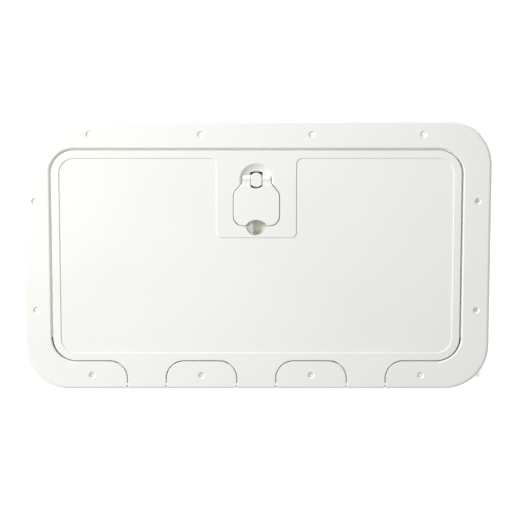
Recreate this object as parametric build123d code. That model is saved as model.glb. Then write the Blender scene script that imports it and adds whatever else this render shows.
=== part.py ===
"""Flush deck hatch for a boat: a flanged frame, a lid on finger hinges and a lift-handle latch.

Millimetres. +X runs along the hinge, +Y points from the hinge to the latch, +Z points out of the deck.
The origin is the middle of the frame in the plane of the deck, under the flange.
"""
import os
from math import radians

from build123d import *

# ---- frame, seen from above ----------------------------------------------------------------------
frame_length = 606.0
frame_width = 353.0
frame_corner_r = 58.0
side_band = 36.5
end_band = 37.0
opening_corner_r = 32.0

# ---- frame, in section ---------------------------------------------------------------------------
flange_height = 6.5
flange_edge_r = 4.2
inner_edge_r = 2.4
tab_bevel_size = 0.5
frame_wall = 3.0
lip_overhang = 3.0
neck_depth = 40.0
gutter_floor_z = -10.0
gutter_width = 12.0
upstand_top_z = -2.0
upstand_wall = 2.5
flange_rib = 2.0
gap_lip_width = 1.4
gap_lip_height = 1.4
gap_lip_root = 1.5

# ---- building aids
over = 1.0
near = 0.01
pin_chamfer = 0.3

# ---- fixing screws through the flange ------------------------------------------------------------
screw_pitch = 143.0
screw_row_inset = 18.5
screw_side_inset = 17.3
screw_hole_r = 2.5
countersink_r = 4.5
screw_boss_r = 6.0

# ---- hinge ---------------------------------------------------------------------------------------
finger_count = 3
finger_slot = 52.1
tab_corner_r = 22.5
tab_gap = 1.2
hinge_inset = 3.25
knuckle_r = 3.2
hinge_pin_r = 1.5
hinge_fit = 0.08
pin_in_tab = 9.0
ear_length = 12.0
hinge_rim = 7.5
channel_clearance = 0.1
plug_head_r = 1.55
plug_head_length = 0.8
finger_floor = 2.5
finger_air = 0.5
knuckle_air = 0.85

# ---- lid -----------------------------------------------------------------------------------------
lid_gap = 2.0
lid_edge_r = 0.9
border_thickness = 4.0
field_depth = 1.0
field_slope = 0.85
field_inset = 9.8
field_corner_r = 20.0
skirt_wall = 3.2
skirt_bottom_z = -4.0
lid_rib = 2.0
lid_rib_bottom_z = -6.0
lid_rib_pitch_x = 60.0
lid_rib_pitch_y = 50.0
gasket_width = 8.2
gasket_air = 0.3
gasket_round = 1.6
gasket_rib = 2.0
gasket_rib_drop = 2.5
gasket_rib_gap = 0.25

# ---- platform and pocket for the handle ----------------------------------------------------------
platform_width = 102.0
platform_length = 113.0
platform_corner_r = 6.5
platform_blend_r = 8.0
post_inset = 38.5
pocket_gap = 0.9
pocket_air = 0.7
swing_room = 0.6
tray_wall = 2.5
dish_r = 22.0
dish_depth = 6.5
dish_wall = 2.4
drum_floor_z = -7.0
post_well_r = 12.0
post_well_depth = 7.2
post_well_edge = 0.5
window_air = 1.0
window_swing = 12.0
scoop_r = 13.9
scoop_inset = 0.9
scoop_depth = 17.0
ramp_foot_x = -4.2
ramp_foot_depth = 5.2
ramp_start_depth = 0.4

# ---- handle --------------------------------------------------------------------------------------
handle_thickness = 3.6
handle_half_width = 29.5
neck_half_width = 18.3
handle_reach = 60.5
handle_corner_r = 13.0
shoulder_top = 4.8
shoulder_bottom = 18.8
shoulder_inner_r = 8.0
shoulder_outer_r = 12.0
handle_edge_r = 0.8
handle_relief = 1.3
ear_dip_r = 15.0
ear_dip_depth = 0.6
ear_dip_from_pin = 4.1
notch_r = 16.3
notch_rise = 7.4
ear_back_r = 5.5
ear_pin_wall_r = 3.6
ear_air = 0.4
ear_gap = 0.7
mouth_reach = 4.0
leg_length = 14.0
leg_thickness = 5.0
leg_inner_x = 8.6
leg_outer_x = 14.4
handle_turn = 45.0

# ---- post and pin --------------------------------------------------------------------------------
post_r = 9.0
post_flat = 6.9
post_slot_air = 2.0
post_top_drop = 0.2
post_edge_r = 0.8
pin_offset_y = 1.3
handle_pin_r = 2.0
handle_pin_half = 17.8
handle_fit = 0.08
washer_thickness = 0.45
washer_r = 3.4
washer_air = 0.1
washer_fit = 0.05

# ---- latch under the lid -------------------------------------------------------------------------
seal_thickness = 1.0
seal_edge = 0.5
post_air = 0.15
slot_air_x = 0.6
slot_air_y = 0.5
body_wall = 3.0
body_half_width = 19.6
body_front_gap = 4.0
body_depth = 22.5
body_rear = 31.0
flange_half_width = 31.0
body_screw_x = 26.5
body_screw_y = 13.0
body_lug = 6.0
body_lug_r = 5.0
cover_thickness = 2.5
cover_screw_x = 21.8
cover_boss_r = 3.4
slide_air = 0.3
bolt_half_width = 16.2
bolt_spine_half = 7.2
bolt_nose_half = 11.0
bolt_base_height = 8.7
bolt_rear = 16.5
bolt_engagement = 5.7
bolt_ramp = 9.5
lug_thickness = 4.0
lug_air = 0.4
lug_extra = 0.2
nose_overlap = 3.0
spine_air = 2.0
leg_travel_loss = 0.5
spring_r = 4.0
spring_wire_r = 0.45
spring_turns = 9
spring_end_air = 0.05
spring_pocket_r = 4.4
spring_pocket_bottom = 13.0
rod_r = 2.2
rod_head_r = 4.0
rod_head_length = 1.6
rod_end_air = 1.4

# ---- keeper, fasteners and small parts -----------------------------------------------------------
keeper_thickness = 1.5
keeper_half_length = 24.0
keeper_edge = 0.3
keeper_wall_air = 1.0
keeper_corner_r = 2.5
keeper_screw_x = 17.0
small_screw_r = 1.5
small_head_r = 2.8
small_head_height = 1.9
body_screw_r = 1.75
body_head_r = 3.6
body_head_height = 2.2
body_hole_air = 0.25
screw_end_air = 2.5
cover_screw_depth = 8.0
cover_hole_air = 0.15
keeper_screw_depth = 3.0
keeper_boss_wall = 0.6
keeper_boss_drop = 1.5
slot_half = 0.4
head_round = 0.45
tip_bevel = 0.4
body_boss_r = 4.0
buffer_r = 3.0
buffer_x = 20.0
buffer_from_pin = 50.0
buffer_sunk = 1.0
buffer_air = 0.3
buffer_edge_r = 0.2
drain_outer_r = 5.0
drain_bore_r = 3.5
drain_from_corner = 12.5
drain_length = 24.0

# ---- derived places ------------------------------------------------------------------------------
opening_length = frame_length - 2 * side_band
opening_width = frame_width - 2 * end_band
half_opening_x = opening_length / 2
half_opening_y = opening_width / 2
neck_inner = lip_overhang
neck_outer = lip_overhang + frame_wall
upstand_outer = neck_inner - gutter_width
clear_inset = upstand_outer - upstand_wall
shelf_bottom_z = gutter_floor_z - frame_wall
roof_z = flange_height - frame_wall

hinge_y = -frame_width / 2 + hinge_inset
hinge_z = flange_height - hinge_inset
finger_x = [screw_pitch * (i - (finger_count - 1) / 2) for i in range(finger_count)]
finger_half = finger_slot / 2 - tab_gap
tab_top_y = -half_opening_y

lid_half_x = half_opening_x - lid_gap
lid_top_y = half_opening_y - lid_gap
lid_bottom_y = -half_opening_y + tab_gap
lid_corner_r = opening_corner_r - lid_gap
plate_z = flange_height - border_thickness
field_z = flange_height - field_depth
gasket_centre = clear_inset + upstand_wall / 2
gasket_bottom_z = upstand_top_z + gasket_air

post_y = lid_top_y - post_inset
pin_y = post_y + pin_offset_y
pin_z = flange_height - ear_back_r
platform_bottom_y = lid_top_y - platform_length
handle_bottom_z = flange_height - handle_thickness
pocket_floor_z = handle_bottom_z - pocket_air
handle_end_y = pin_y - handle_reach
ear_inner_x = post_flat + ear_gap
scoop_y = handle_end_y + scoop_inset

body_top_z = drum_floor_z - seal_thickness
body_under_z = body_top_z - body_wall
body_bottom_z = body_under_z - (body_depth - body_wall - cover_thickness)
cover_bottom_z = body_bottom_z - cover_thickness
upstand_face_y = half_opening_y + clear_inset
body_front_y = upstand_face_y - body_front_gap
body_rear_y = post_y - body_rear
inner_front_y = body_front_y - body_wall
inner_rear_y = body_rear_y + body_wall
leg_tip_z = pin_z - leg_length
lug_face_y = pin_y - leg_thickness / 2 - lug_air
bolt_travel = (leg_length - leg_travel_loss) * radians(handle_turn)
bolt_bottom_z = body_bottom_z + slide_air
bolt_base_top_z = bolt_bottom_z + bolt_base_height
keeper_bottom_z = shelf_bottom_z - keeper_thickness
bolt_top_z = keeper_bottom_z - slide_air
bolt_tip_y = upstand_face_y + keeper_edge + bolt_engagement
bolt_rear_y = post_y - bolt_rear
bolt_spine_top_z = body_under_z - spine_air
spring_z = (bolt_bottom_z + bolt_spine_top_z) / 2
pocket_bottom_y = post_y + spring_pocket_bottom
body_screws = [(x, post_y + y) for x in (-body_screw_x, body_screw_x) for y in (-body_screw_y, body_screw_y)]
cover_screw_ends = (body_rear_y + cover_boss_r, body_front_y - cover_boss_r)
cover_screws = [(x, y) for x in (-cover_screw_x, cover_screw_x) for y in cover_screw_ends]


# ---- small builders ------------------------------------------------------------------------------
def prism(plan, low, high):
    """Plan drawn on the XY plane, made solid from one height to another."""
    return extrude(Pos(0, 0, low) * plan, high - low)


def ring_plan(grow):
    """Outline of the lid opening, grown outward by an offset."""
    return RectangleRounded(opening_length + 2 * grow, opening_width + 2 * grow, opening_corner_r + grow)


def rect_between(x0, x1, y0, y1):
    """Plain rectangle between two corners."""
    return Pos((x0 + x1) / 2, (y0 + y1) / 2) * Rectangle(x1 - x0, y1 - y0)


def block(x0, x1, y0, y1, z0, z1):
    """Plain block between two corners."""
    return prism(rect_between(x0, x1, y0, y1), z0, z1)


def rod_z(x, y, radius, low, high):
    """Upright cylinder."""
    return Pos(x, y, (low + high) / 2) * Cylinder(radius, high - low)


def rod_x(x0, x1, y, z, radius):
    """Cylinder along X."""
    return Pos((x0 + x1) / 2, y, z) * Rot(0, 90, 0) * Cylinder(radius, x1 - x0)


def rod_y(y0, y1, x, z, radius):
    """Cylinder along Y."""
    return Pos(x, (y0 + y1) / 2, z) * Rot(90, 0, 0) * Cylinder(radius, y1 - y0)


def side_profile(points, x0, x1):
    """Polygon of (y, z) points made solid from x0 to x1."""
    face = make_face(Polyline([(x0, y, z) for y, z in points], close=True))
    return extrude(face, x1 - x0, dir=(1, 0, 0))


def envelope():
    """Outer form of the flange, its top edge rounded, shared by the frame and the hinge fingers."""
    slab = prism(RectangleRounded(frame_length, frame_width, frame_corner_r), 0, flange_height)
    return fillet(slab.edges().group_by(Axis.Z)[-1], flange_edge_r)


def tabs_plan(grow):
    """The four tabs of the frame along the hinge edge, grown by an offset."""
    low = -frame_width
    top = tab_top_y + grow
    corner = tab_corner_r + grow
    edges = [x + side * finger_slot / 2 for x in finger_x for side in (-1, 1)]
    inner = [(edges[i], edges[i + 1]) for i in (1, 3)]
    spans = [(-frame_length, edges[0])] + inner + [(edges[-1], frame_length)]
    plan = None
    for x0, x1 in spans:
        tab = Pos((x0 + x1) / 2, (low + top) / 2) * RectangleRounded(x1 - x0 + 2 * grow, top - low, corner)
        plan = tab if plan is None else plan + tab
    return plan


def fingers_plan(outer_y, inner_y):
    """Strips for the hinge fingers, wide enough for their flared roots, between two lines along X."""
    half = finger_slot / 2 + tab_corner_r + tab_gap
    plan = None
    for x in finger_x:
        strip = rect_between(x - half, x + half, outer_y, inner_y)
        plan = strip if plan is None else plan + strip
    return plan


def screw_places():
    """Centres of the twelve fixing screws: a row of four along each long side and two at each end."""
    row_y = frame_width / 2 - screw_row_inset
    end_x = frame_length / 2 - screw_side_inset
    rows = [(screw_pitch * (i - 1.5), y) for i in range(4) for y in (-row_y, row_y)]
    ends = [(x, y) for x in (-end_x, end_x) for y in (-screw_pitch / 2, screw_pitch / 2)]
    return rows + ends


# ---- frame ---------------------------------------------------------------------------------------
def flange():
    """Flat flange with its rounded inner edge, and sharp-edged tabs on the hinge side."""
    body = envelope() - prism(ring_plan(0), -over, flange_height + over)
    rim = [e for e in body.edges().group_by(Axis.Z)[-1] if abs(e.center().X) < half_opening_x + over]
    inner = [e for e in rim if abs(e.center().Y) < half_opening_y + over]
    body = fillet(inner, inner_edge_r)
    straight = half_opening_x - opening_corner_r
    body += block(-straight, straight, tab_top_y - 2 * inner_edge_r, tab_top_y, roof_z - over, flange_height)
    return body


def flange_core():
    """Hollow under the flange: between its rim, the neck and the hinge rim, left open below."""
    rim = RectangleRounded(
        frame_length - 2 * frame_wall, frame_width - 2 * frame_wall, frame_corner_r - frame_wall
    )
    hollow = rim - ring_plan(neck_outer)
    split = tab_top_y - frame_wall
    upper = hollow & rect_between(-frame_length, frame_length, split, frame_width)
    hinge_limit = -frame_width / 2 + hinge_rim
    lower = hollow & rect_between(-frame_length, frame_length, hinge_limit, split + over) & tabs_plan(-frame_wall)
    return prism(upper, -over, roof_z) + prism(lower, -over, roof_z)


def flange_ribs():
    """Stiffening ribs under the flange, at thirds of the screw pitch and round the corners."""
    outer = frame_width / 2 - over
    step = screw_pitch / 3
    ribs = []
    for i in range(-5, 6):
        x = i * step
        ribs.append(block(x - flange_rib / 2, x + flange_rib / 2, half_opening_y + neck_inner, outer, 0, roof_z))
    for i in range(-2, 3):
        y = i * step
        for side in (-1, 1):
            rib = block(0, side_band - neck_inner - over, y - flange_rib / 2, y + flange_rib / 2, 0, roof_z)
            start = half_opening_x + neck_inner
            ribs.append(Pos(start if side > 0 else -frame_length / 2 + over, 0, 0) * rib)
    return ribs


def neck_and_gutter():
    """Neck through the deck, with the gutter and the upstand that the lid seal closes on."""
    neck = prism(ring_plan(neck_outer) - ring_plan(neck_inner), -neck_depth, roof_z)
    shelf = prism(ring_plan(neck_inner + over) - ring_plan(clear_inset), shelf_bottom_z, gutter_floor_z)
    upstand = prism(ring_plan(upstand_outer) - ring_plan(clear_inset), shelf_bottom_z, upstand_top_z)
    return neck + shelf + upstand


def gap_lip():
    """Narrow lip under the flange's inner edge, which closes most of the gap round the lid from below."""
    lip = prism(ring_plan(gap_lip_root) - ring_plan(-gap_lip_width), roof_z - gap_lip_height, roof_z)
    start = tab_top_y + opening_corner_r
    return lip & block(-frame_length, frame_length, start, frame_width, 0, flange_height)


def drain_places():
    """Centres of the two drain spouts, in the gutter near the hinge corners."""
    x = half_opening_x + neck_inner - gutter_width / 2
    y = -half_opening_y + opening_corner_r + drain_from_corner
    return [(-x, y), (x, y)]


def hinge_bores():
    """Bores for the hinge pins through the tab ears, and the open channels that let the pins in."""
    cuts = []
    reach = finger_slot / 2 + ear_length
    for x in finger_x:
        cuts.append(rod_x(x - reach - over, x + reach + over, hinge_y, hinge_z, hinge_pin_r))
    channel_r = hinge_pin_r + channel_clearance
    starts = [x + reach for x in finger_x]
    ends = [x - reach for x in finger_x[1:]] + [finger_x[-1] + reach + 2 * finger_slot]
    spans = list(zip(starts, ends)) + [(finger_x[0] - reach - 2 * finger_slot, finger_x[0] - reach)]
    for x0, x1 in spans:
        x0 = max(x0, -frame_length / 2 + frame_corner_r)
        x1 = min(x1, frame_length / 2 - frame_corner_r)
        cuts.append(rod_x(x0, x1, hinge_y, hinge_z, channel_r))
        cuts.append(block(x0, x1, hinge_y - channel_r, hinge_y + channel_r, -over, hinge_z))
    return cuts


def tab_bevel():
    """Cutter that bevels the top edges of the tabs, along the lid and down both sides of each finger."""
    straight = half_opening_x - opening_corner_r
    plan = rect_between(-straight, straight, -frame_width, tab_top_y + 2 * lid_gap)
    plan -= tabs_plan(-tab_bevel_size)
    cutter = prism(plan, flange_height - tab_bevel_size, flange_height + over)
    return chamfer(cutter.edges().group_by(Axis.Z)[0], tab_bevel_size - near)


def make_frame():
    """Frame moulding: flange, tabs, neck, gutter and upstand in one piece."""
    body = flange() - flange_core()
    for rib in flange_ribs():
        body += rib
    for x, y in screw_places():
        body += rod_z(x, y, screw_boss_r, 0, roof_z + over)
    body -= prism(ring_plan(neck_inner) - ring_plan(-over), -over, roof_z)
    body += neck_and_gutter()
    body += gap_lip()
    slots = fingers_plan(-frame_width, tab_top_y) - tabs_plan(0)
    body -= prism(slots, finger_floor, flange_height + over)
    body -= tab_bevel()
    knuckle_edge = hinge_y + knuckle_r + knuckle_air
    knuckles = rect_between(-frame_length, frame_length, -frame_width, knuckle_edge)
    body -= prism(slots & knuckles, -over, finger_floor)
    for x, y in drain_places():
        body += rod_z(x, y, drain_outer_r, shelf_bottom_z - drain_length, gutter_floor_z)
    for x, y in drain_places():
        body -= rod_z(x, y, drain_bore_r, shelf_bottom_z - drain_length - over, gutter_floor_z + over)
    for cut in hinge_bores():
        body -= cut
    for x, y in screw_places():
        body -= rod_z(x, y, screw_hole_r, -over, flange_height + over)
        depth = countersink_r - screw_hole_r
        cone = Cone(screw_hole_r, countersink_r, depth)
        body -= Pos(x, y, flange_height - depth / 2) * cone
    for x in (-keeper_screw_x, keeper_screw_x):
        boss_r = small_head_r + keeper_boss_wall
        body += rod_z(x, keeper_screw_y(), boss_r, gutter_floor_z, skirt_bottom_z - keeper_boss_drop)
        body -= rod_z(x, keeper_screw_y(), small_screw_r, shelf_bottom_z - over, keeper_screw_top())
    return body


# ---- hinge pins ----------------------------------------------------------------------------------
def make_hinge_pin(x):
    """Stainless pin through one finger and into the tab ears on both sides."""
    reach = finger_slot / 2 + pin_in_tab
    pin = rod_x(x - reach, x + reach, hinge_y, hinge_z, hinge_pin_r)
    return chamfer(pin.edges().filter_by(GeomType.CIRCLE), pin_chamfer)


def make_hinge_pin_plugs():
    """Plugs pressed in behind the hinge pins, two for each finger."""
    plugs = []
    for x in finger_x:
        for side in (-1, 1):
            start = x + side * (finger_slot / 2 + pin_in_tab)
            mouth = x + side * (finger_slot / 2 + ear_length)
            tip = mouth + side * plug_head_length
            shank = rod_x(min(start, mouth), max(start, mouth), hinge_y, hinge_z, hinge_pin_r)
            head = rod_x(min(mouth, tip), max(mouth, tip), hinge_y, hinge_z, plug_head_r)
            plugs.append(shank + head)
    return Compound(children=plugs)


# ---- keeper --------------------------------------------------------------------------------------
def keeper_screw_y():
    """Line of the keeper screws, midway across the gutter."""
    return half_opening_y + neck_inner - gutter_width / 2


def keeper_screw_top():
    """Tip of the keeper screws, short of the top of their bosses."""
    return skirt_bottom_z - keeper_screw_depth


def make_keeper_plate():
    """Steel plate under the gutter that the bolt catches on."""
    y0 = upstand_face_y + keeper_edge
    y1 = half_opening_y + neck_inner - keeper_wall_air
    centre = (y0 + y1) / 2
    plan = Pos(0, centre) * RectangleRounded(2 * keeper_half_length, y1 - y0, keeper_corner_r)
    plate = prism(plan, keeper_bottom_z, shelf_bottom_z)
    for x in (-keeper_screw_x, keeper_screw_x):
        plate -= rod_z(x, keeper_screw_y(), small_screw_r, keeper_bottom_z - over, shelf_bottom_z + over)
    return plate


def pan_screw(x, y, shank_r, head_r, head_height, seat, tip):
    """Pan-head screw driven upward: its head sits below the seat height and its shank ends at tip."""
    head = rod_z(x, y, head_r, seat - head_height, seat)
    head = fillet(head.edges().group_by(Axis.Z)[0], head_height * head_round)
    slot = block(x - head_r, x + head_r, y - slot_half, y + slot_half, seat - head_height, seat - head_height / 2)
    shank = rod_z(x, y, shank_r, seat, tip)
    shank = chamfer(shank.edges().group_by(Axis.Z)[-1], shank_r * tip_bevel)
    return head - slot + shank


def make_keeper_screws():
    """Two screws that hold the keeper plate up under the gutter."""
    spec = (small_screw_r, small_head_r, small_head_height, keeper_bottom_z, keeper_screw_top())
    return Compound(children=[pan_screw(x, keeper_screw_y(), *spec) for x in (-keeper_screw_x, keeper_screw_x)])


# ---- lid -----------------------------------------------------------------------------------------
def lid_rect(inset):
    """Outline of the lid without its fingers, drawn in by an inset."""
    length = 2 * (lid_half_x - inset)
    width = lid_top_y - lid_bottom_y - 2 * inset
    return Pos(0, (lid_top_y + lid_bottom_y) / 2) * RectangleRounded(length, width, lid_corner_r - inset)


def field_plan():
    """Sunken field of the lid, its border of even width, with the latch platform standing into it."""
    low = lid_bottom_y + field_inset
    high = lid_top_y - field_inset
    half = lid_half_x - field_inset
    field = Pos(0, (low + high) / 2) * RectangleRounded(2 * half, high - low, field_corner_r)
    height = high - platform_bottom_y + 3 * platform_corner_r
    centre = platform_bottom_y + height / 2
    field -= Pos(0, centre) * RectangleRounded(platform_width, height, platform_corner_r)
    ends = [v for v in field.vertices() if abs(v.Y - high) < near]
    meets = [v for v in ends if abs(abs(v.X) - platform_width / 2) < near]
    return fillet(meets, platform_blend_r)


def handle_plan(grow):
    """Bottle outline of the handle from its end to the pin, grown by an offset for its pocket."""
    neck = neck_half_width + grow
    wide = handle_half_width + grow
    end = handle_end_y - grow
    top = pin_y
    inner = pin_y - shoulder_top
    outer = pin_y - shoulder_bottom
    right = [(neck, top), (neck, inner), (wide, outer), (wide, end)]
    left = [(-x, y) for x, y in reversed(right)]
    plan = make_face(Polyline(right + left, close=True))
    bends = ((inner, shoulder_inner_r - grow), (outer, shoulder_outer_r + grow), (end, handle_corner_r))
    for depth, radius in bends:
        corners = [v for v in plan.vertices() if abs(v.Y - depth) < near]
        plan = fillet(corners, radius)
    return plan


def scoop():
    """Finger scoop at the handle's end: a round well with a ramp on one side that ends in a drop."""
    low = flange_height - scoop_depth
    high = flange_height + over
    well = rod_z(0, scoop_y, scoop_r, low, high)
    left = -scoop_r - over
    ramp = [(left, flange_height - ramp_start_depth), (ramp_foot_x, flange_height - ramp_foot_depth)]
    outline = ramp + [(ramp_foot_x, low), (-left, low), (-left, high), (left, high)]
    face = make_face(Polyline([(x, scoop_y + left, z) for x, z in outline], close=True))
    return well & extrude(face, -2 * left, dir=(0, 1, 0))


def dish():
    """Round dish about the post, a shallow part of a sphere."""
    ball_r = (dish_r**2 + dish_depth**2) / (2 * dish_depth)
    return Pos(0, post_y, flange_height - dish_depth + ball_r) * Sphere(ball_r)


def post_well():
    """Round well in the middle of the dish, with a bevelled mouth, that the post stands in."""
    low = flange_height - post_well_depth
    well = rod_z(0, post_y, post_well_r, low, flange_height)
    return chamfer(well.edges().group_by(Axis.Z)[0], post_well_edge)


def lid_plate():
    """Top plate with border, fingers and hinge knuckles."""
    plate = prism(lid_rect(0), plate_z, flange_height)
    strips = fingers_plan(-frame_width / 2, lid_bottom_y + lid_edge_r) - tabs_plan(tab_gap)
    fingers = prism(strips, finger_floor + finger_air, flange_height)
    for x in finger_x:
        fingers += rod_x(x - finger_half, x + finger_half, hinge_y, hinge_z, knuckle_r)
    return plate + (fingers & envelope())


def lid_underside():
    """Skirt, seal channel and stiffening ribs under the plate."""
    parts = [prism(lid_rect(0) - lid_rect(skirt_wall), skirt_bottom_z, plate_z)]
    inner = gasket_centre - gasket_width / 2 - gasket_rib_gap
    channel = ring_plan(inner) - ring_plan(inner - gasket_rib)
    parts.append(prism(channel, plate_z - gasket_rib_drop, plate_z))
    reach_x = half_opening_x + inner
    reach_y = half_opening_y + inner
    half = lid_rib / 2
    grid = []
    for x in rib_lines(reach_x, lid_rib_pitch_x):
        grid.append(rect_between(x - half, x + half, -reach_y, reach_y))
    for y in rib_lines(reach_y, lid_rib_pitch_y):
        grid.append(rect_between(-reach_x, reach_x, y - half, y + half))
    inside = ring_plan(inner - gasket_rib / 2)
    parts += [prism(bar & inside, lid_rib_bottom_z, plate_z) for bar in grid]
    return parts


def rib_lines(reach, pitch):
    """Places of evenly spaced ribs either side of the middle, clear of the edge."""
    count = int((reach - pitch / 4) // pitch)
    return [i * pitch for i in range(-count, count + 1)]


def latch_walls():
    """Tray under the handle, drum under the dish, well under the scoop and the latch screw bosses."""
    parts = [prism(handle_plan(pocket_gap + tray_wall), pocket_floor_z - tray_wall, plate_z + over)]
    parts.append(rod_z(0, post_y, dish_r + dish_wall, drum_floor_z, plate_z + over))
    well_floor = flange_height - scoop_depth - tray_wall
    parts.append(rod_z(0, scoop_y, scoop_r + tray_wall, well_floor, plate_z + over))
    for x, y in body_screws:
        parts.append(rod_z(x, y, body_boss_r, body_top_z, plate_z + over))
    return parts


def latch_pockets():
    """Everything cut out of the lid for the handle, the post, the dish and the scoop."""
    pocket = prism(handle_plan(pocket_gap), pocket_floor_z, flange_height + over)
    cuts = [pocket, Pos(0, swing_room, 0) * pocket, dish(), scoop(), post_well()]
    reach = neck_half_width + pocket_gap
    cuts.append(rod_x(-reach, reach, pin_y, pin_z, ear_back_r + ear_air))
    low = pin_y - window_swing
    for half, high in ((leg_outer_x, pin_y + leg_thickness / 2), (post_flat, post_y + post_r)):
        half += window_air
        cuts.append(block(-half, half, low, high + window_air, drum_floor_z - over, flange_height))
    for x in (-buffer_x, buffer_x):
        cuts.append(rod_z(x, pin_y - buffer_from_pin, buffer_r, pocket_floor_z - buffer_sunk, flange_height))
    for x, y in body_screws:
        cuts.append(rod_z(x, y, body_screw_r, body_top_z - over, body_screw_tip()))
    return cuts


def body_screw_tip():
    """Tip of the screws that hold the latch body, inside the lid's bosses."""
    return plate_z - screw_end_air


def make_lid():
    """Lid moulding: plate, sunken field, hinge fingers, skirt, ribs and the handle's pocket."""
    body = lid_plate()
    top = [e for e in body.edges().group_by(Axis.Z)[-1]]
    body = fillet(top, lid_edge_r)
    field = prism(field_plan(), field_z, flange_height + over)
    body -= chamfer(field.edges().group_by(Axis.Z)[0], field_slope)
    for piece in lid_underside() + latch_walls():
        body += piece
    for cut in latch_pockets():
        body -= cut
    for x in finger_x:
        body -= rod_x(x - finger_half - over, x + finger_half + over, hinge_y, hinge_z, hinge_pin_r + hinge_fit)
    return body


def make_lid_gasket():
    """Rubber seal in the lid's channel, over the upstand, rounded where it meets it."""
    half = gasket_width / 2
    plan = ring_plan(gasket_centre + half) - ring_plan(gasket_centre - half)
    seal = prism(plan, gasket_bottom_z, plate_z)
    return fillet(seal.edges().group_by(Axis.Z)[0], gasket_round)


# ---- handle --------------------------------------------------------------------------------------
def ear_profile(x0, x1):
    """Ear of the handle about the pin: rounded back, and a leg below that draws the bolt."""
    upper = rod_x(x0, x1, pin_y, pin_z, ear_back_r)
    upper &= block(x0, x1, pin_y - ear_back_r, pin_y + ear_back_r, pin_z, flange_height)
    return upper + rod_x(x0, x1, pin_y, pin_z, ear_pin_wall_r)


def ear_dip():
    """Shallow round-bottomed dip across the neck, which leaves the ears standing as two barrels."""
    reach = neck_half_width + over
    return rod_x(-reach, reach, pin_y - ear_dip_from_pin, flange_height - ear_dip_depth + ear_dip_r, ear_dip_r)


def make_handle():
    """Flush handle: bottle-shaped plate, two ears about the post and two legs below the pin."""
    plate = prism(handle_plan(0), handle_bottom_z, flange_height)
    plate -= prism(Pos(0, handle_end_y + notch_rise - notch_r) * Circle(notch_r), 0, flange_height + over)
    slot = rect_between(-ear_inner_x, ear_inner_x, post_y, pin_y + ear_back_r + over)
    mouth = Pos(0, post_y) * Circle(post_r + post_slot_air)
    slot += mouth & rect_between(-ear_inner_x, ear_inner_x, post_y - post_r - mouth_reach, post_y + over)
    plate -= prism(slot, 0, flange_height + over)
    rim = [e for e in plate.edges().group_by(Axis.Z)[-1] if e.center().Y < pin_y - near]
    plate = fillet(rim, handle_edge_r)
    outside = [e for e in plate.edges().group_by(Axis.Z)[0] if abs(e.center().X) > neck_half_width]
    plate = chamfer([e for e in outside if e.center().Y > handle_end_y + handle_corner_r], handle_relief)
    plate -= ear_dip()
    half = leg_thickness / 2
    for side in (-1, 1):
        ear = sorted((side * ear_inner_x, side * neck_half_width))
        leg = sorted((side * leg_inner_x, side * leg_outer_x))
        plate += ear_profile(*ear)
        plate += block(*leg, pin_y - half, pin_y + half, leg_tip_z, pin_z)
        plate += rod_x(*leg, pin_y, leg_tip_z, half)
    reach = neck_half_width + over
    return plate - rod_x(-reach, reach, pin_y, pin_z, handle_pin_r + handle_fit)


def make_handle_pin():
    """Stainless pin pressed through the post, on which the handle's ears turn."""
    pin = rod_x(-handle_pin_half, handle_pin_half, pin_y, pin_z, handle_pin_r)
    return chamfer(pin.edges().filter_by(GeomType.CIRCLE), pin_chamfer)


def make_handle_washers():
    """Thin washers on the pin between the post and the ears."""
    washers = []
    for side in (-1, 1):
        near_post = post_flat + washer_air
        ends = sorted((side * near_post, side * (near_post + washer_thickness)))
        disc = rod_x(*ends, pin_y, pin_z, washer_r)
        washers.append(disc - rod_x(ends[0] - over, ends[1] + over, pin_y, pin_z, handle_pin_r + washer_fit))
    return Compound(children=washers)


def make_handle_buffers():
    """Rubber buttons in the pocket floor that the handle lies on."""
    low = pocket_floor_z - buffer_sunk
    buttons = []
    for x in (-buffer_x, buffer_x):
        button = rod_z(x, pin_y - buffer_from_pin, buffer_r, low, handle_bottom_z - buffer_air)
        buttons.append(fillet(button.edges().group_by(Axis.Z)[-1], buffer_edge_r))
    return Compound(children=buttons)


# ---- latch body ----------------------------------------------------------------------------------
def make_latch_body_seal():
    """Flat seal between the lid's drum and the latch body, close round the post and open for the legs."""
    seal = rod_z(0, post_y, dish_r + dish_wall - seal_edge, body_top_z, drum_floor_z)
    hole = rod_z(0, post_y, post_r + post_air, body_top_z, drum_floor_z)
    half = post_flat + post_air
    seal -= hole & block(-half, half, post_y - post_r - over, post_y + post_r + over, body_top_z, drum_floor_z)
    for slot in leg_slots():
        seal -= slot
    return seal


def leg_slots():
    """Slots in the latch body's top for the handle's legs and the bolt's lugs."""
    low = lug_face_y - lug_thickness - bolt_travel - slot_air_y
    high = pin_y + leg_thickness / 2 + slot_air_y
    inner = leg_inner_x - slot_air_x
    outer = leg_outer_x + slot_air_x
    spans = ((-outer, -inner), (inner, outer))
    return [block(x0, x1, low, high, body_under_z - over, drum_floor_z + over) for x0, x1 in spans]


def make_post():
    """Round post with two flats that stands up between the ears."""
    post = rod_z(0, post_y, post_r, body_top_z, flange_height - post_top_drop)
    post &= block(-post_flat, post_flat, post_y - post_r, post_y + post_r, body_top_z, flange_height)
    return fillet(post.edges().group_by(Axis.Z)[-1], post_edge_r)


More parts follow.
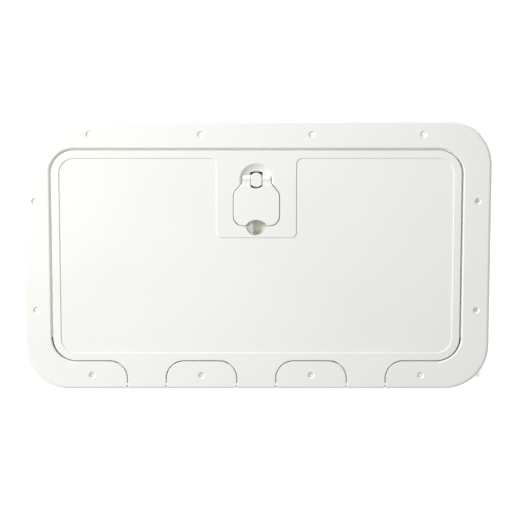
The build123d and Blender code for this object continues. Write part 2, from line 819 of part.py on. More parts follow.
def make_latch_body():
    """Latch body: post, screwed flange and the box that the bolt slides in, open below."""
    plan = Pos(0, post_y) * RectangleRounded(2 * flange_half_width, 2 * (body_screw_y + body_lug), body_lug_r)
    body = prism(plan, body_under_z, body_top_z)
    box = block(-body_half_width, body_half_width, body_rear_y, body_front_y, body_bottom_z, body_top_z)
    inner_half = body_half_width - body_wall
    box -= block(-inner_half, inner_half, inner_rear_y, inner_front_y, body_bottom_z - over, body_under_z)
    body += box
    for x, y in cover_screws:
        boss = rod_z(x, y, cover_boss_r, body_bottom_z, body_under_z)
        boss -= block(-inner_half, inner_half, inner_rear_y, inner_front_y, body_bottom_z - over, body_under_z)
        body += boss
    body += make_post()
    for slot in leg_slots():
        body -= slot
    window = bolt_nose_half + slide_air
    low = body_bottom_z - over
    body -= block(-window, window, inner_front_y - over, body_front_y + over, low, bolt_top_z + slide_air)
    body -= rod_x(-post_r, post_r, pin_y, pin_z, handle_pin_r)
    body -= rod_y(body_rear_y - over, inner_rear_y + over, 0, spring_z, rod_r)
    for x, y in body_screws:
        body -= rod_z(x, y, body_screw_r + body_hole_air, body_under_z - over, body_top_z + over)
    for x, y in cover_screws:
        body -= rod_z(x, y, small_screw_r, body_bottom_z - over, cover_screw_tip())
    return body


def cover_screw_tip():
    """Tip of the cover screws inside the latch body's bosses."""
    return body_bottom_z + cover_screw_depth


def make_latch_cover():
    """Plate that closes the latch body from below and carries the bolt."""
    plan = rect_between(-body_half_width, body_half_width, body_rear_y, body_front_y)
    for x, y in cover_screws:
        plan += Pos(x, y) * Circle(cover_boss_r)
    cover = prism(plan, cover_bottom_z, body_bottom_z)
    for x, y in cover_screws:
        cover -= rod_z(x, y, small_screw_r + cover_hole_air, cover_bottom_z - over, body_bottom_z + over)
    return cover


def make_cover_screws():
    """Four screws of the latch cover."""
    spec = (small_screw_r, small_head_r, small_head_height, cover_bottom_z, cover_screw_tip())
    return Compound(children=[pan_screw(x, y, *spec) for x, y in cover_screws])


def make_latch_body_screws():
    """Four screws that hold the latch body up to the lid."""
    spec = (body_screw_r, body_head_r, body_head_height, body_under_z, body_screw_tip())
    return Compound(children=[pan_screw(x, y, *spec) for x, y in body_screws])


# ---- bolt and spring -----------------------------------------------------------------------------
def make_latch_bolt():
    """Sprung bolt: a wide foot, a spine round the spring, two lugs for the legs and a ramped nose."""
    shoulder = inner_front_y - slide_air
    foot = block(-bolt_half_width, bolt_half_width, bolt_rear_y, shoulder, bolt_bottom_z, bolt_base_top_z)
    foot += block(-bolt_spine_half, bolt_spine_half, bolt_rear_y, shoulder, bolt_bottom_z, bolt_spine_top_z)
    low = bolt_bottom_z
    ramp_top = low + bolt_ramp
    head_y = pocket_bottom_y - nose_overlap
    nose = [(head_y, low), (bolt_tip_y - bolt_ramp, low), (bolt_tip_y, ramp_top)]
    nose += [(bolt_tip_y, bolt_top_z), (head_y, bolt_top_z)]
    foot += side_profile(nose, -bolt_nose_half, bolt_nose_half)
    for side in (-1, 1):
        lug = sorted((side * (leg_inner_x - lug_extra), side * (leg_outer_x + lug_extra)))
        foot += block(*lug, lug_face_y - lug_thickness, lug_face_y, low, body_top_z - slide_air)
    return foot - rod_y(bolt_rear_y - over, pocket_bottom_y, 0, spring_z, spring_pocket_r)


def make_bolt_spring():
    """Compression spring between the box's rear wall and the bottom of the bolt's pocket."""
    length = pocket_bottom_y - inner_rear_y - 2 * (spring_wire_r + spring_end_air)
    mean_r = spring_r - spring_wire_r
    path = Helix(length / spring_turns, length, mean_r)
    section = Plane(path @ 0, z_dir=path % 0) * Circle(spring_wire_r)
    coil = sweep(section, path, is_frenet=True)
    return Pos(0, inner_rear_y + spring_wire_r + spring_end_air, spring_z) * Rot(-90, 0, 0) * coil


def make_spring_rod():
    """Guide rod of the spring, pressed through the box's rear wall with its head outside."""
    tip = pocket_bottom_y - bolt_travel - rod_end_air
    rod = rod_y(body_rear_y, tip, 0, spring_z, rod_r)
    return rod + rod_y(body_rear_y - rod_head_length, body_rear_y, 0, spring_z, rod_head_r)


def main():
    """Build every piece and write it to its own file."""
    names = ("left", "centre", "right")
    parts = {f"hinge_pin_{names[i]}": make_hinge_pin(x) for i, x in enumerate(finger_x)}
    parts["frame"] = make_frame()
    parts["hinge_pin_plugs"] = make_hinge_pin_plugs()
    parts["keeper_plate"] = make_keeper_plate()
    parts["keeper_screws"] = make_keeper_screws()
    parts["lid"] = make_lid()
    parts["lid_gasket"] = make_lid_gasket()
    parts["handle"] = make_handle()
    parts["handle_pin"] = make_handle_pin()
    parts["handle_washers"] = make_handle_washers()
    parts["handle_buffers"] = make_handle_buffers()
    parts["latch_body"] = make_latch_body()
    parts["latch_body_seal"] = make_latch_body_seal()
    parts["latch_body_screws"] = make_latch_body_screws()
    parts["latch_cover"] = make_latch_cover()
    parts["cover_screws"] = make_cover_screws()
    parts["latch_bolt"] = make_latch_bolt()
    parts["bolt_spring"] = make_bolt_spring()
    parts["spring_rod"] = make_spring_rod()
    os.makedirs("parts", exist_ok=True)
    for name, shape in parts.items():
        export_step(shape, f"parts/{name}.step")


main()
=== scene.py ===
"""Deck hatch: moulded plastic, steel, rubber seal, latch spring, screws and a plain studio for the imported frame."""

import math

import bpy
import numpy as np
from bpy.props import FloatProperty, FloatVectorProperty, IntProperty, PointerProperty
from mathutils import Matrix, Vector


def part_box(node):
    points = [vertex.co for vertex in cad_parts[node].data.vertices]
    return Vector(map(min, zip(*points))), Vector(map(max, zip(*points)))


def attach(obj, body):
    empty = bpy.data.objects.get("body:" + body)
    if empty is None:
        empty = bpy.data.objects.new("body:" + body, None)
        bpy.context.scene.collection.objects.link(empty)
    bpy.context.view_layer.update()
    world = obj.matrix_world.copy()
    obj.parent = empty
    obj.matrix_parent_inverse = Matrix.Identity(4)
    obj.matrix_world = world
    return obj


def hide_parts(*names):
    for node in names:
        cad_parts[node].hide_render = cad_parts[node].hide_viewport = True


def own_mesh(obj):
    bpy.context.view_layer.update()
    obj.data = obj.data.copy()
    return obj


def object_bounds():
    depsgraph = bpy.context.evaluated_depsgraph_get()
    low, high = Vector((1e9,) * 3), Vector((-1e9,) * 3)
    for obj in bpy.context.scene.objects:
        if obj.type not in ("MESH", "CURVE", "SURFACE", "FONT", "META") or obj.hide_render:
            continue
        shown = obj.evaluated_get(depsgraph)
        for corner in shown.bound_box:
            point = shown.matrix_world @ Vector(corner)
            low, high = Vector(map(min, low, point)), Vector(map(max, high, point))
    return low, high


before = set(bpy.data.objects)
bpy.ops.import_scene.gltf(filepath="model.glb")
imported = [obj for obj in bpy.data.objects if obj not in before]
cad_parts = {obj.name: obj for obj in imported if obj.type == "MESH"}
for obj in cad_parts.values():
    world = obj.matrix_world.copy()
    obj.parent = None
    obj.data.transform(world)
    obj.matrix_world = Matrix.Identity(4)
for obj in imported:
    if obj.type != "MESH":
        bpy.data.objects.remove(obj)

bl_info = {
    "name": "Deck Hatch Finish",
    "version": (1, 0, 0),
    "blender": (4, 5, 0),
    "location": "3D View > Sidebar > Deck Hatch",
    "description": "Plastic, steel and rubber finishes, the latch spring, the lid seal and the screws of a deck hatch",
    "category": "Object",
}

CAD_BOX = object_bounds()
TURN = 2 * math.pi
LIGHT = (0.985, 0.985, 1.06)
LAMP_PLACE = (-1.85, 1.2, 1.6)
VIEW_MIDDLE = (-0.00185, 0.00151)
FLOOR_RADIUS = 6.0
FLOOR_DROP = 0.05
GLOW_START, GLOW_END = -0.012, -0.002


def tone(name, text, default):
    """A colour property."""
    return FloatVectorProperty(name=name, description=text, subtype="COLOR", size=3, min=0, max=1, default=default)


def length(name, text, default):
    """A length property in metres."""
    return FloatProperty(name=name, description=text, default=default, min=0, precision=5, unit="LENGTH")


def share(name, text, default):
    """A property from 0 to 1."""
    return FloatProperty(name=name, description=text, default=default, min=0, max=1, subtype="FACTOR")


# ---- settings -------------------------------------------------------------------------------------------------------


class HatchPlasticSettings(bpy.types.PropertyGroup):
    """Colours and surface of the moulded parts."""

    shell: tone("Frame and lid", "Colour of the frame and lid mouldings", (0.85, 0.85, 0.765))
    handle: tone("Handle", "Colour of the handle moulding", (0.85, 0.85, 0.765))
    latch: tone("Latch body", "Colour of the post and latch body", (0.85, 0.85, 0.76))
    cover: tone("Latch cover", "Colour of the cover under the latch", (0.42, 0.43, 0.43))
    bolt: tone("Bolt", "Colour of the acetal bolt", (0.030, 0.031, 0.034))
    roughness: share("Roughness", "Mean roughness of the glossy mouldings", 0.34)
    ripple: length("Ripple", "Depth of the slow ripple that moulding leaves", 0.00003)
    grain: length("Grain", "Depth of the fine mould texture", 0.000006)


class HatchRubberSettings(bpy.types.PropertyGroup):
    """Colour of the rubber parts and shape of the lid seal."""

    colour: tone("Rubber", "Colour of the seals and buffers", (0.028, 0.028, 0.030))
    corner: length("Corner", "Corner radius of the seal's centre line", 0.02175)
    groove: length("Groove", "Depth of the two grooves along the seal's face", 0.00045)
    barb: length("Barb", "Depth of the notches between the barbs that hold the seal in its channel", 0.0005)
    bloom: share("Bloom", "How much paler the rubber is where it has dried", 0.35)


class HatchSteelSettings(bpy.types.PropertyGroup):
    """Steel colours, the latch spring and the screws."""

    colour: tone("Stainless steel", "Colour of pins, plate and screws", (0.60, 0.60, 0.59))
    spring: tone("Spring steel", "Colour of the spring wire", (0.46, 0.46, 0.45))
    roughness: share("Roughness", "Mean roughness of the steel", 0.30)
    wire: length("Wire", "Radius of the spring wire", 0.00045)
    coils: IntProperty(name="Coils", description="Turns of the spring, the closed ends included", default=10, min=4)
    pitch: length("Thread pitch", "Distance between the turns of a screw thread", 0.00118)
    thread: length("Thread depth", "Height of a screw's thread over its core", 0.00035)
    recess: length("Recess", "Depth of the cross recess in a screw head", 0.0012)


class HatchStudioSettings(bpy.types.PropertyGroup):
    """Floor, lights and camera."""

    floor: tone("Floor", "Colour of the floor", (0.93, 0.93, 0.92))
    # Painted light: the floor's glow, cut off under the hatch, washes out the shadow that the hatch casts on the floor
    # round it.
    glow: share("Floor glow", "Light that the translucent floor passes from below", 0.80)
    sky: share("Sky", "Strength of the even light from all round", 0.42)
    key: FloatProperty(name="Key light", description="Power of the large soft light", default=84.0, min=0, unit="POWER")
    key_size: length("Key size", "Side of the large soft light", 0.9)
    tilt: FloatProperty(name="Tilt", description="Camera angle from straight above", default=0.16743, unit="ROTATION")
    distance: length("Distance", "Camera distance from the hatch", 2.7223)
    across: FloatProperty(name="Field of view", description="Camera angle across", default=0.24121, unit="ROTATION")


class HatchSettings(bpy.types.PropertyGroup):
    """All settings of the hatch."""

    plastic: PointerProperty(name="Plastic", description="Moulded parts", type=HatchPlasticSettings)
    rubber: PointerProperty(name="Rubber", description="Seals and buffers", type=HatchRubberSettings)
    steel: PointerProperty(name="Steel", description="Steel parts", type=HatchSteelSettings)
    studio: PointerProperty(name="Studio", description="Floor, lights and camera", type=HatchStudioSettings)


# ---- node trees -----------------------------------------------------------------------------------------------------


class Finish:
    """A material under construction: its node tree, its shader and its object coordinates."""

    def __init__(self, name, colour, roughness, **sockets):
        self.material = bpy.data.materials.new(name)
        self.material.use_nodes = True
        self.nodes = self.material.node_tree.nodes
        self.links = self.material.node_tree.links
        self.shader = self.nodes["Principled BSDF"]
        self.coordinates = self.nodes.new("ShaderNodeTexCoord").outputs["Object"]
        self.shader.inputs["Base Color"].default_value = (*colour, 1)
        self.shader.inputs["Roughness"].default_value = roughness
        for socket, value in sockets.items():
            self.shader.inputs[socket.replace("_", " ")].default_value = value
        self.material.diffuse_color = (*colour, 1)
        self.normal = None

    def plug(self, value, socket):
        """Links an output to a socket, or sets the socket where the value is a number."""
        if isinstance(value, bpy.types.NodeSocket):
            self.links.new(value, socket)
        else:
            socket.default_value = value

    def stretch(self, scale, turn=(0, 0, 0)):
        """Object coordinates turned and scaled on each axis."""
        node = self.nodes.new("ShaderNodeMapping")
        node.inputs["Scale"].default_value = scale
        node.inputs["Rotation"].default_value = turn
        self.links.new(self.coordinates, node.inputs["Vector"])
        return node.outputs["Vector"]

    def noise(self, scale, detail=3.0, rough=0.5, where=None, twist=0.0):
        """Noise of so many features a metre, about 0.5 in the middle."""
        node = self.nodes.new("ShaderNodeTexNoise")
        node.inputs["Scale"].default_value = scale
        node.inputs["Detail"].default_value = detail
        node.inputs["Roughness"].default_value = rough
        node.inputs["Distortion"].default_value = twist
        self.links.new(where or self.coordinates, node.inputs["Vector"])
        return node.outputs["Fac"]

    def band(self, value, low, high, to_low, to_high):
        """A value taken from one range to another, and held at its ends."""
        node = self.nodes.new("ShaderNodeMapRange")
        self.plug(value, node.inputs["Value"])
        for socket, number in zip(("From Min", "From Max", "To Min", "To Max"), (low, high, to_low, to_high)):
            node.inputs[socket].default_value = number
        return node.outputs["Result"]

    def sum(self, kind, first, second):
        """Two values added, multiplied or compared."""
        node = self.nodes.new("ShaderNodeMath")
        node.operation = kind
        self.plug(first, node.inputs[0])
        self.plug(second, node.inputs[1])
        return node.outputs["Value"]

    def blend(self, amount, first, second):
        """A colour between two others."""
        node = self.nodes.new("ShaderNodeMix")
        node.data_type = "RGBA"
        self.plug(amount, node.inputs["Factor"])
        for side, colour in (("A", first), ("B", second)):
            socket = [s for s in node.inputs if s.name == side and s.type == "RGBA"][0]
            self.plug(colour if isinstance(colour, bpy.types.NodeSocket) else (*colour, 1), socket)
        return [s for s in node.outputs if s.type == "RGBA"][0]

    def relief(self, height, depth, strength=1.0):
        """Bump of a height pattern, laid over any bump made before it."""
        node = self.nodes.new("ShaderNodeBump")
        node.inputs["Strength"].default_value = strength
        node.inputs["Distance"].default_value = depth
        self.links.new(height, node.inputs["Height"])
        if self.normal:
            self.links.new(self.normal, node.inputs["Normal"])
        self.normal = node.outputs["Normal"]

    def done(self, colour=None, roughness=None):
        """Links the finished patterns to the shader and gives the material."""
        for value, socket in ((colour, "Base Color"), (roughness, "Roughness"), (self.normal, "Normal")):
            if value is not None:
                self.links.new(value, self.shader.inputs[socket])
        return self.material


def shade(colour, factor, warm=0.0):
    """A colour made darker or lighter, and warmer by lowering its blue."""
    return tuple(min(1.0, c * factor * (1 - warm * k)) for c, k in zip(colour, (0.0, 0.25, 1.0)))


# ---- finishes -------------------------------------------------------------------------------------------------------


def scuffs(finish, turn, spacing):
    """Thin handling marks in one direction: noise drawn out sixty times along a line, and only its crests."""
    lines = finish.noise(1.0, 2.0, 0.5, finish.stretch((spacing / 60, spacing, spacing / 6), turn))
    patches = finish.band(finish.noise(9.0, 2.0), 0.5, 0.66, 0.0, 1.0)
    return finish.sum("MULTIPLY", finish.band(lines, 0.68, 0.74, 0.0, 1.0), patches)


def moulded_plastic(name, colour, seed_turn):
    """Glossy moulded plastic: slow drift of tone, fine mould grain, slow ripple, dust nibs and light scuffs."""
    plastic = bpy.context.scene.hatch.plastic
    finish = Finish(name, colour, plastic.roughness, IOR=1.48, Coat_Weight=0.12, Coat_Roughness=0.16)
    drift = finish.noise(5.0, 3.0, 0.55, finish.stretch((1, 1, 1), (0.3, 0.2, seed_turn)))
    flow = finish.noise(42.0, 4.0, 0.6, twist=0.4)
    nibs = finish.band(finish.noise(520.0, 1.0), 0.74, 0.80, 0.0, 1.0)
    marks = finish.sum("MAXIMUM", scuffs(finish, (0, 0, 0.5 + seed_turn), 900), scuffs(finish, (0, 0, 2.2), 700))
    base = finish.blend(finish.band(drift, 0.3, 0.7, 0.0, 1.0), shade(colour, 0.985, 0.02), shade(colour, 1.01))
    base = finish.blend(finish.sum("MULTIPLY", nibs, 0.10), base, shade(colour, 0.62, 0.1))
    base = finish.blend(finish.sum("MULTIPLY", marks, 0.05), base, shade(colour, 0.9))
    rough = finish.band(flow, 0.3, 0.7, plastic.roughness - 0.05, plastic.roughness + 0.05)
    rough = finish.sum("ADD", rough, finish.sum("MULTIPLY", marks, 0.16))
    finish.relief(finish.noise(160.0, 2.0, 0.4), plastic.ripple)
    finish.relief(finish.noise(2300.0, 2.0, 0.6), plastic.grain)
    finish.relief(marks, plastic.grain, 0.6)
    return finish.done(base, rough)


def textured_plastic(name, colour, roughness):
    """Plain moulded plastic with a spark-eroded texture: close pits on a matte ground, rubbed smoother in patches."""
    finish = Finish(name, colour, roughness, IOR=1.49)
    pits = finish.noise(1500.0, 4.0, 0.7)
    rubbed = finish.band(finish.noise(35.0, 3.0), 0.45, 0.65, 0.0, 1.0)
    base = finish.blend(finish.band(pits, 0.35, 0.65, 0.0, 1.0), shade(colour, 0.90), shade(colour, 1.07))
    base = finish.blend(finish.sum("MULTIPLY", rubbed, 0.3), base, shade(colour, 0.86))
    finish.relief(pits, 0.00004)
    return finish.done(base, finish.band(rubbed, 0.0, 1.0, roughness, roughness - 0.16))


def acetal(name, colour):
    """Machined acetal: waxy, with faint cutter lines across the sliding faces and a polished look where it rubs."""
    finish = Finish(name, colour, 0.36, IOR=1.48)
    lines = finish.noise(1.0, 2.0, 0.5, finish.stretch((60, 3200, 60)))
    rubbed = finish.band(finish.noise(70.0, 3.0), 0.4, 0.65, 0.0, 1.0)
    base = finish.blend(finish.band(lines, 0.35, 0.65, 0.0, 1.0), shade(colour, 0.9), shade(colour, 1.25))
    finish.relief(lines, 0.000012)
    return finish.done(base, finish.band(rubbed, 0.0, 1.0, 0.42, 0.27))


def natural_nylon(name):
    """Thin natural nylon: milky, faintly yellow, soft inside, with a fine satin grain."""
    colour = (0.78, 0.75, 0.64)
    finish = Finish(name, colour, 0.42, IOR=1.53, Subsurface_Weight=0.25, Subsurface_Scale=0.001)
    cloud = finish.noise(300.0, 3.0)
    base = finish.blend(finish.band(cloud, 0.35, 0.65, 0.0, 1.0), shade(colour, 0.93, 0.05), colour)
    finish.relief(finish.noise(2500.0, 2.0), 0.000008)
    return finish.done(base, finish.band(cloud, 0.3, 0.7, 0.36, 0.48))


def black_rubber(name):
    """Moulded rubber: fine grain, a greyish dry bloom in patches and a slightly polished wiping line."""
    rubber = bpy.context.scene.hatch.rubber
    finish = Finish(name, rubber.colour, 0.68, IOR=1.52)
    patches = finish.band(finish.noise(28.0, 5.0, 0.65), 0.42, 0.72, 0.0, rubber.bloom)
    dust = finish.band(finish.noise(900.0, 2.0), 0.62, 0.74, 0.0, 0.25)
    base = finish.blend(patches, tuple(rubber.colour), (0.085, 0.083, 0.078))
    base = finish.blend(dust, base, (0.16, 0.155, 0.14))
    finish.relief(finish.noise(1800.0, 3.0, 0.6), 0.00002)
    finish.relief(finish.noise(120.0, 2.0), 0.00008)
    return finish.done(base, finish.band(patches, 0.0, 0.35, 0.60, 0.80))


def worked_steel(name, colour, lines, turn=(0, 0, 0)):
    """Stainless steel worked in one direction: fine parallel lines, slow tone changes and a few water marks."""
    steel = bpy.context.scene.hatch.steel
    finish = Finish(name, colour, steel.roughness, Metallic=1.0, Anisotropic=0.35)
    grain = finish.noise(1.0, 3.0, 0.6, finish.stretch(lines, turn))
    tarnish = finish.noise(55.0, 4.0, 0.6)
    spots = finish.band(finish.noise(230.0, 3.0, 0.6), 0.62, 0.70, 0.0, 1.0)
    base = finish.blend(finish.band(grain, 0.3, 0.7, 0.0, 1.0), shade(colour, 0.84), shade(colour, 1.12))
    base = finish.blend(finish.band(tarnish, 0.5, 0.8, 0.0, 0.45), base, shade(colour, 0.78, 0.12))
    rough = finish.band(grain, 0.3, 0.7, steel.roughness - 0.08, steel.roughness + 0.10)
    rough = finish.sum("ADD", rough, finish.sum("MULTIPLY", spots, 0.14))
    finish.relief(grain, 0.000012)
    return finish.done(base, rough)


def dress(node, material):
    """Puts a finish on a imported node, in place of the one it came with."""
    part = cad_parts[node]
    for place in part.material_slots:
        place.material = material


# ---- surfaces -------------------------------------------------------------------------------------------------------

RING_POINTS = 48
END_ROOM = 0.0002
CLOSED_COIL_AIR = 1.02

SEAL_HALF = 0.0041
SEAL_FACE_SHARE = 0.42
SEAL_ROUNDING = 2.6
SEAL_TOP_EDGE = 0.0001
GROOVE_PLACE = 0.46
GROOVE_SPREAD = 0.10
BARBS = 3

CROWN_SHARE = 0.86
CROWN_RISE = 0.22
RIM_RISE = 0.5
POINT_SHARE = 0.9
ARM_SHARE = 0.12
ARM_EASE = 0.00012
ARM_SLOPE = 0.00018
RECESS_REACH = 0.62
RECESS_FALL = 0.30
THREAD_START = 0.0008
THREAD_WIDTH = 0.32
RINGS_A_PITCH = 9


def skin(rings, ends):
    """Points, and faces in groups, of a surface whose rings are closed loops. Ring i's point j is rings[i, j]. With
    ends the surface is closed by a point at the middle of its first and last ring, and without them its last ring
    joins its first. Faces point to the right of the ring's direction, seen from the first ring."""
    rows, columns = rings.shape[:2]
    number = np.arange(rows * columns).reshape(rows, columns)
    beside = np.roll(number, -1, axis=1)
    below = number if ends else np.roll(number, -1, axis=0)
    span = rows - 1 if ends else rows
    after, after_beside = (number[1:], beside[1:]) if ends else (below, np.roll(below, -1, axis=1))
    quads = np.stack((number[:span], beside[:span], after_beside[:span], after[:span]), axis=-1).reshape(-1, 4)
    points = rings.reshape(-1, 3)
    if not ends:
        return points, (quads,)
    points = np.vstack((points, rings[0].mean(axis=0), rings[-1].mean(axis=0)))
    first, last = len(points) - 2, len(points) - 1
    start = np.stack((np.full(columns, first), beside[0], number[0]), axis=-1)
    finish = np.stack((np.full(columns, last), number[-1], beside[-1]), axis=-1)
    return points, (quads, start, finish)


def mesh_of(name, skins, material):
    """A mesh of one or more skins. Each skin's faces are moved on by the number of points before it."""
    base = np.cumsum([0] + [len(points) for points, _ in skins])
    faces = [(part + start).tolist() for (_, parts), start in zip(skins, base) for part in parts]
    mesh = bpy.data.meshes.new(name)
    mesh.from_pydata(np.vstack([points for points, _ in skins]).tolist(), [], sum(faces, []))
    mesh.materials.append(material)
    return mesh


def piece(name, skins, material, slot, body, *nodes):
    """A mesh of one or more skins, smooth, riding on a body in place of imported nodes."""
    mesh = mesh_of(name, skins, material)
    mesh.shade_smooth()
    mesh.update()
    thing = bpy.data.objects.new(name, mesh)
    bpy.context.scene.collection.objects.link(thing)
    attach(thing, body)
    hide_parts(*nodes)
    return thing


def seal_profile(half, low, high, groove, barb):
    """Closed section of the lid seal as (distance from its centre line, height) pairs. The face below is half an
    ellipse with two grooves cut in it as bells, and the sides above it are straight with a wave of barbs."""
    across = np.linspace(-1, 1, 45)
    shoulder = low + (high - low) * SEAL_FACE_SHARE
    face = shoulder - (shoulder - low) * np.sqrt(np.clip(1 - np.abs(across) ** SEAL_ROUNDING, 0, 1))
    for place in (GROOVE_PLACE, -GROOVE_PLACE):
        face += groove * np.exp(-(((across - place) / GROOVE_SPREAD) ** 2))
    up = np.linspace(shoulder, high - SEAL_TOP_EDGE, 24)[1:]
    side = half - barb * 0.5 * (1 - np.cos(BARBS * TURN * (up - shoulder) / (high - shoulder)))
    top = np.linspace(1, -1, 9) * (half - barb) * 0.96
    distance = np.concatenate((across * half, side, top, -side[::-1]))
    height = np.concatenate((face, up, np.full(top.shape, high), up[::-1]))
    return distance, height


def ring_path(half_x, half_y, radius, per_corner, per_side):
    """Rounded rectangle as points and outward directions: four quarter circles joined by straight runs, each a run
    of evenly spaced points."""
    centres = ((half_x - radius, half_y - radius), (-half_x + radius, half_y - radius))
    centres += tuple((-x, -y) for x, y in centres)
    angle = np.linspace(0, math.pi / 2, per_corner)
    points, ways = [], []
    for quarter, centre in enumerate(centres):
        way = np.stack((np.cos(angle + quarter * math.pi / 2), np.sin(angle + quarter * math.pi / 2)), axis=-1)
        arc = np.array(centre) + radius * way
        next_centre = np.array(centres[(quarter + 1) % 4])
        share_along = np.linspace(0, 1, per_side + 2)[1:-1, None]
        run = arc[-1] + (next_centre + radius * way[-1] - arc[-1]) * share_along
        points += [arc, run]
        ways += [way, np.repeat(way[-1:], per_side, axis=0)]
    return np.vstack(points), np.vstack(ways)


def seal_skin(box, settings):
    """The lid seal: its section carried round the rounded rectangle of its centre line. A point is the path's point,
    plus the section's distance along the outward direction, at the section's height."""
    (low_x, low_y, low_z), (high_x, high_y, high_z) = box
    path, ways = ring_path(high_x - SEAL_HALF, high_y - SEAL_HALF, settings.corner, 25, 60)
    distance, height = seal_profile(SEAL_HALF, low_z, high_z, settings.groove, settings.barb)
    flat = path[:, None, :] + ways[:, None, :] * distance[None, :, None]
    rings = np.dstack((flat, np.broadcast_to(height, flat.shape[:2])))
    return skin(rings, False)


def spring_skin(box, wire, coils):
    """The latch spring: a circle carried along a coil whose end turns lie closed and are ground flat. At angle a of
    the coil the middle of the wire is at radius R from the axis, and its place along the axis rises by one wire a
    turn at the ends and evenly between them. The ends are cut off flat by holding the place along the axis between
    the two end planes."""
    (low_x, low_y, low_z), (high_x, high_y, high_z) = box
    middle_x, middle_z = (low_x + high_x) / 2, (low_z + high_z) / 2
    radius = min(high_x - low_x, high_z - low_z) / 2 - wire
    start, end = low_y + END_ROOM, high_y - END_ROOM
    turns = np.linspace(0, coils, RING_POINTS * coils + 1)
    closed = 2 * wire * CLOSED_COIL_AIR
    open_pitch = (end - start - 2 * wire - 2 * closed + wire) / (coils - 2)
    opened = closed + open_pitch * (coils - 2)
    along = np.interp(turns, (0, 1, coils - 1, coils), (0, closed, opened, opened + closed))
    along += start + wire * 0.5
    out = np.stack((np.cos(TURN * turns), np.zeros_like(turns), np.sin(TURN * turns)), axis=-1)
    middle = np.array((middle_x, 0, middle_z)) + radius * out
    middle[:, 1] = along
    run = np.gradient(middle, axis=0)
    run /= np.linalg.norm(run, axis=1)[:, None]
    side = np.cross(run, out)
    around = np.linspace(0, TURN, 17)[:-1]
    ring = np.cos(around)[None, :, None] * out[:, None, :] + np.sin(around)[None, :, None] * side[:, None, :]
    rings = middle[:, None, :] + wire * ring
    rings[:, :, 1] = np.clip(rings[:, :, 1], start, end)
    return skin(rings, True)


def screw_skin(place, sizes, steel):
    """A pan-head screw driven upward. Its rings run from the middle of the recess out over the crown, round the rim,
    in under the head, up the thread and to the point. The crown is a shallow dome. The cross recess adds a depth that
    falls off within four arms. The thread adds a ridge that is highest where height over pitch less the angle's share
    of a turn is a whole number."""
    x, y, seat, tip = place
    shank, head, head_height = sizes
    angle = np.linspace(0, TURN, RING_POINTS + 1)[:-1]
    crown = np.linspace(0.02, CROWN_SHARE, 22) * head
    rim = np.linspace(0, math.pi / 2, 7)[1:]
    core = shank - steel.thread
    bottom = seat - head_height
    point_length = shank * POINT_SHARE
    crown_r = head * CROWN_SHARE
    crown_z = bottom + CROWN_RISE * head_height * (crown / crown_r) ** 2
    rim_r = crown_r + (head - crown_r) * np.sin(rim)
    rim_z = bottom + CROWN_RISE * head_height + RIM_RISE * head_height * (1 - np.cos(rim))
    shaft_z = np.linspace(seat, tip - point_length, int((tip - seat) / steel.pitch * RINGS_A_PITCH))
    point = np.linspace(0, 1, 6)[1:]
    radius = np.concatenate((crown, rim_r, (head * 0.995, core * 1.5, core), np.full(shaft_z.size, core)))
    radius = np.concatenate((radius, core * (1 - 0.9 * point)))
    height = np.concatenate((crown_z, rim_z, (seat - 0.00005, seat, seat + 0.00001), shaft_z + 0.00002))
    height = np.concatenate((height, tip - point_length * (1 - point)))
    round_x, round_y = np.cos(angle)[None, :], np.sin(angle)[None, :]
    flat_x, flat_y = radius[:, None] * round_x, radius[:, None] * round_y
    arm = np.minimum(np.abs(flat_x), np.abs(flat_y))
    inside = np.clip((head * ARM_SHARE + ARM_EASE - arm) / ARM_SLOPE, 0, 1)
    fall = np.clip((head * RECESS_REACH - radius[:, None]) / (head * RECESS_FALL), 0, 1)
    on_crown = (np.arange(radius.size) < crown.size)[:, None]
    raised = height[:, None] + on_crown * steel.recess * inside * np.sqrt(fall)
    phase = (height[:, None] / steel.pitch - angle[None, :] / TURN) % 1.0
    ridge = np.clip(1 - np.abs(phase - 0.5) / THREAD_WIDTH, 0, 1)
    first = crown.size + rim.size + 3
    run_in = np.clip((height - seat - THREAD_START) / THREAD_START, 0, 1)
    run_in *= np.clip((tip - height) / point_length, 0, 1)
    threaded = (np.arange(radius.size) >= first) * run_in
    grown = radius[:, None] + steel.thread * ridge * threaded[:, None]
    rings = np.dstack((x + grown * round_x, y + grown * round_y, raised))
    return skin(rings[:, ::-1], True)


# ---- operators ------------------------------------------------------------------------------------------------------


class HATCH_OT_frame(bpy.types.Operator):
    """Give the frame moulding and its pin plugs their plastic"""

    bl_idname = "hatch.frame"
    bl_label = "Frame"

    def execute(self, context):
        colour = context.scene.hatch.plastic.shell
        dress("frame", moulded_plastic("frame_moulding", colour, 0.0))
        dress("hinge_pin_plugs", textured_plastic("plug_moulding", shade(colour, 0.97), 0.5))
        return {"FINISHED"}


class HATCH_OT_lid(bpy.types.Operator):
    """Give the lid moulding its plastic"""

    bl_idname = "hatch.lid"
    bl_label = "Lid"

    def execute(self, context):
        dress("lid", moulded_plastic("lid_moulding", context.scene.hatch.plastic.shell, 1.1))
        return {"FINISHED"}


class HATCH_OT_handle(bpy.types.Operator):
    """Give the lift handle its plastic and its washers their nylon"""

    bl_idname = "hatch.handle"
    bl_label = "Handle"

    def execute(self, context):
        dress("handle", moulded_plastic("handle_moulding", context.scene.hatch.plastic.handle, 2.3))
        dress("handle_washers", natural_nylon("washer_nylon_finish"))
        return {"FINISHED"}


class HATCH_OT_latch(bpy.types.Operator):
    """Give the latch body, its cover and its bolt their plastics"""

    bl_idname = "hatch.latch"
    bl_label = "Latch"

    def execute(self, context):
        plastic = context.scene.hatch.plastic
        dress("latch_body", moulded_plastic("latch_moulding", plastic.latch, 0.7))
        dress("latch_cover", textured_plastic("cover_moulding", plastic.cover, 0.58))
        dress("latch_bolt", acetal("bolt_acetal_finish", plastic.bolt))
        return {"FINISHED"}


